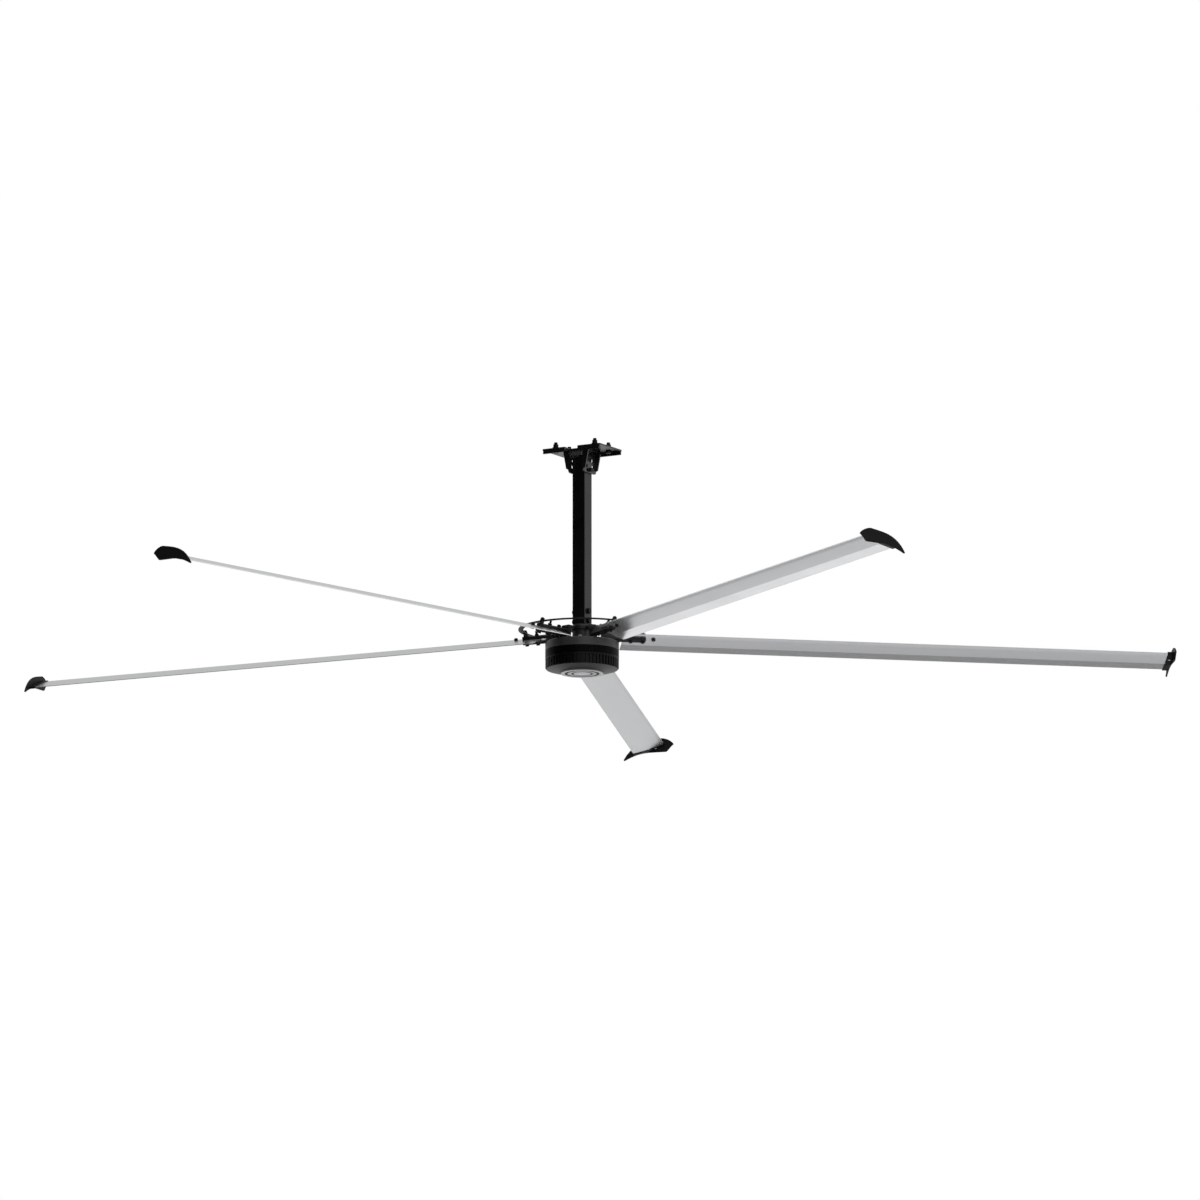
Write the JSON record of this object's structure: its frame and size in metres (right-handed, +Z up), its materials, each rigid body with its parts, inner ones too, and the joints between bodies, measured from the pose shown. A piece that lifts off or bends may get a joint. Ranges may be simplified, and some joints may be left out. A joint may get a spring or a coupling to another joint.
{
  "type": "ceiling fan",
  "caption": "Large industrial ceiling fan: aerofoil blades with upturned tips on a round motor, hung from a hinged ceiling plate by a square tube.",
  "frame": {"origin": "centre of the ceiling plate's top face, which meets the structure above", "axes": "+Z up along the fan's axis, X along the hanger pin, -Y towards the side with the plate's notch"},
  "size_m": [4.0267, 4.0921, 0.8335],
  "materials": {
    "mount_paint": "satin black powder coat",
    "tube_paint": "satin black powder coat",
    "zinc": "zinc plated steel",
    "bolt_black": "black oxide steel",
    "shaft_steel": "ground steel",
    "core_steel": "laminated steel",
    "coil_copper": "enamelled copper wire",
    "bearing_steel": "polished bearing steel",
    "magnet_gray": "nickel plated magnet",
    "band_gray": "turned and satin gray",
    "motor_black": "satin black paint on a casting",
    "arm_black": "satin black powder coat",
    "blade_metal": "satin anodised extrusion",
    "winglet_black": "moulded black plastic",
    "nose_metal": "turned satin aluminium",
    "board_green": "circuit board"
  },
  "bodies": {
    "mount": {"ceiling_plate": "mount_paint", "ceiling_bolts": "bolt_black", "ceiling_washers": "bolt_black", "ceiling_nuts": "bolt_black", "yoke": "mount_paint", "hanger_pin": "bolt_black", "split_pin": "bolt_black"},
    "drop": {"down_tube": "tube_paint", "pin_bush": "shaft_steel", "clamp_bolts": "bolt_black", "mast_adapter": "tube_paint", "motor_shaft": "shaft_steel", "stator_hub": "shaft_steel", "stator_core": "core_steel", "stator_coils": "coil_copper", "upper_inner_race": "bearing_steel", "lower_inner_race": "bearing_steel", "drive_housing": "motor_black", "flange_screws": "zinc", "drive_board": "board_green", "bottom_cover": "motor_black", "cover_screws": "zinc", "nose_disc": "nose_metal"},
    "rotor": {"hub_screws": "zinc", "winglet_screws": "zinc", "arm_bolts": "bolt_black", "blade_bolts": "bolt_black", "ring_bolts": "bolt_black", "upper_outer_race": "bearing_steel", "lower_outer_race": "bearing_steel", "bearing_balls": "bearing_steel", "magnets": "magnet_gray", "rotor_cover": "band_gray", "rotor_can": "motor_black", "rotor_base": "motor_black", "hub_spider": "arm_black", "ring_spacers": "arm_black", "wedge_washers": "arm_black", "safety_ring": "arm_black", "lower_arm_1": "arm_black", "lower_arm_2": "arm_black", "lower_arm_3": "arm_black", "lower_arm_4": "arm_black", "lower_arm_5": "arm_black", "upper_arm_1": "arm_black", "upper_arm_2": "arm_black", "upper_arm_3": "arm_black", "upper_arm_4": "arm_black", "upper_arm_5": "arm_black", "blade_1": "blade_metal", "blade_2": "blade_metal", "blade_3": "blade_metal", "blade_4": "blade_metal", "blade_5": "blade_metal", "winglet_1": "winglet_black", "winglet_2": "winglet_black", "winglet_3": "winglet_black", "winglet_4": "winglet_black", "winglet_5": "winglet_black"}
  },
  "joints": [
    {"name": "swing", "type": "hinge", "parent": "mount", "child": "drop", "pos_m": [0, 0, -0.076], "axis": [1, 0, 0], "range_deg": [-20, 20]},
    {"name": "rotor_spin", "type": "hinge", "parent": "drop", "child": "rotor", "pos_m": [0, 0, -0.6755], "axis": [0, 0, 1], "continuous": true}
  ]
}
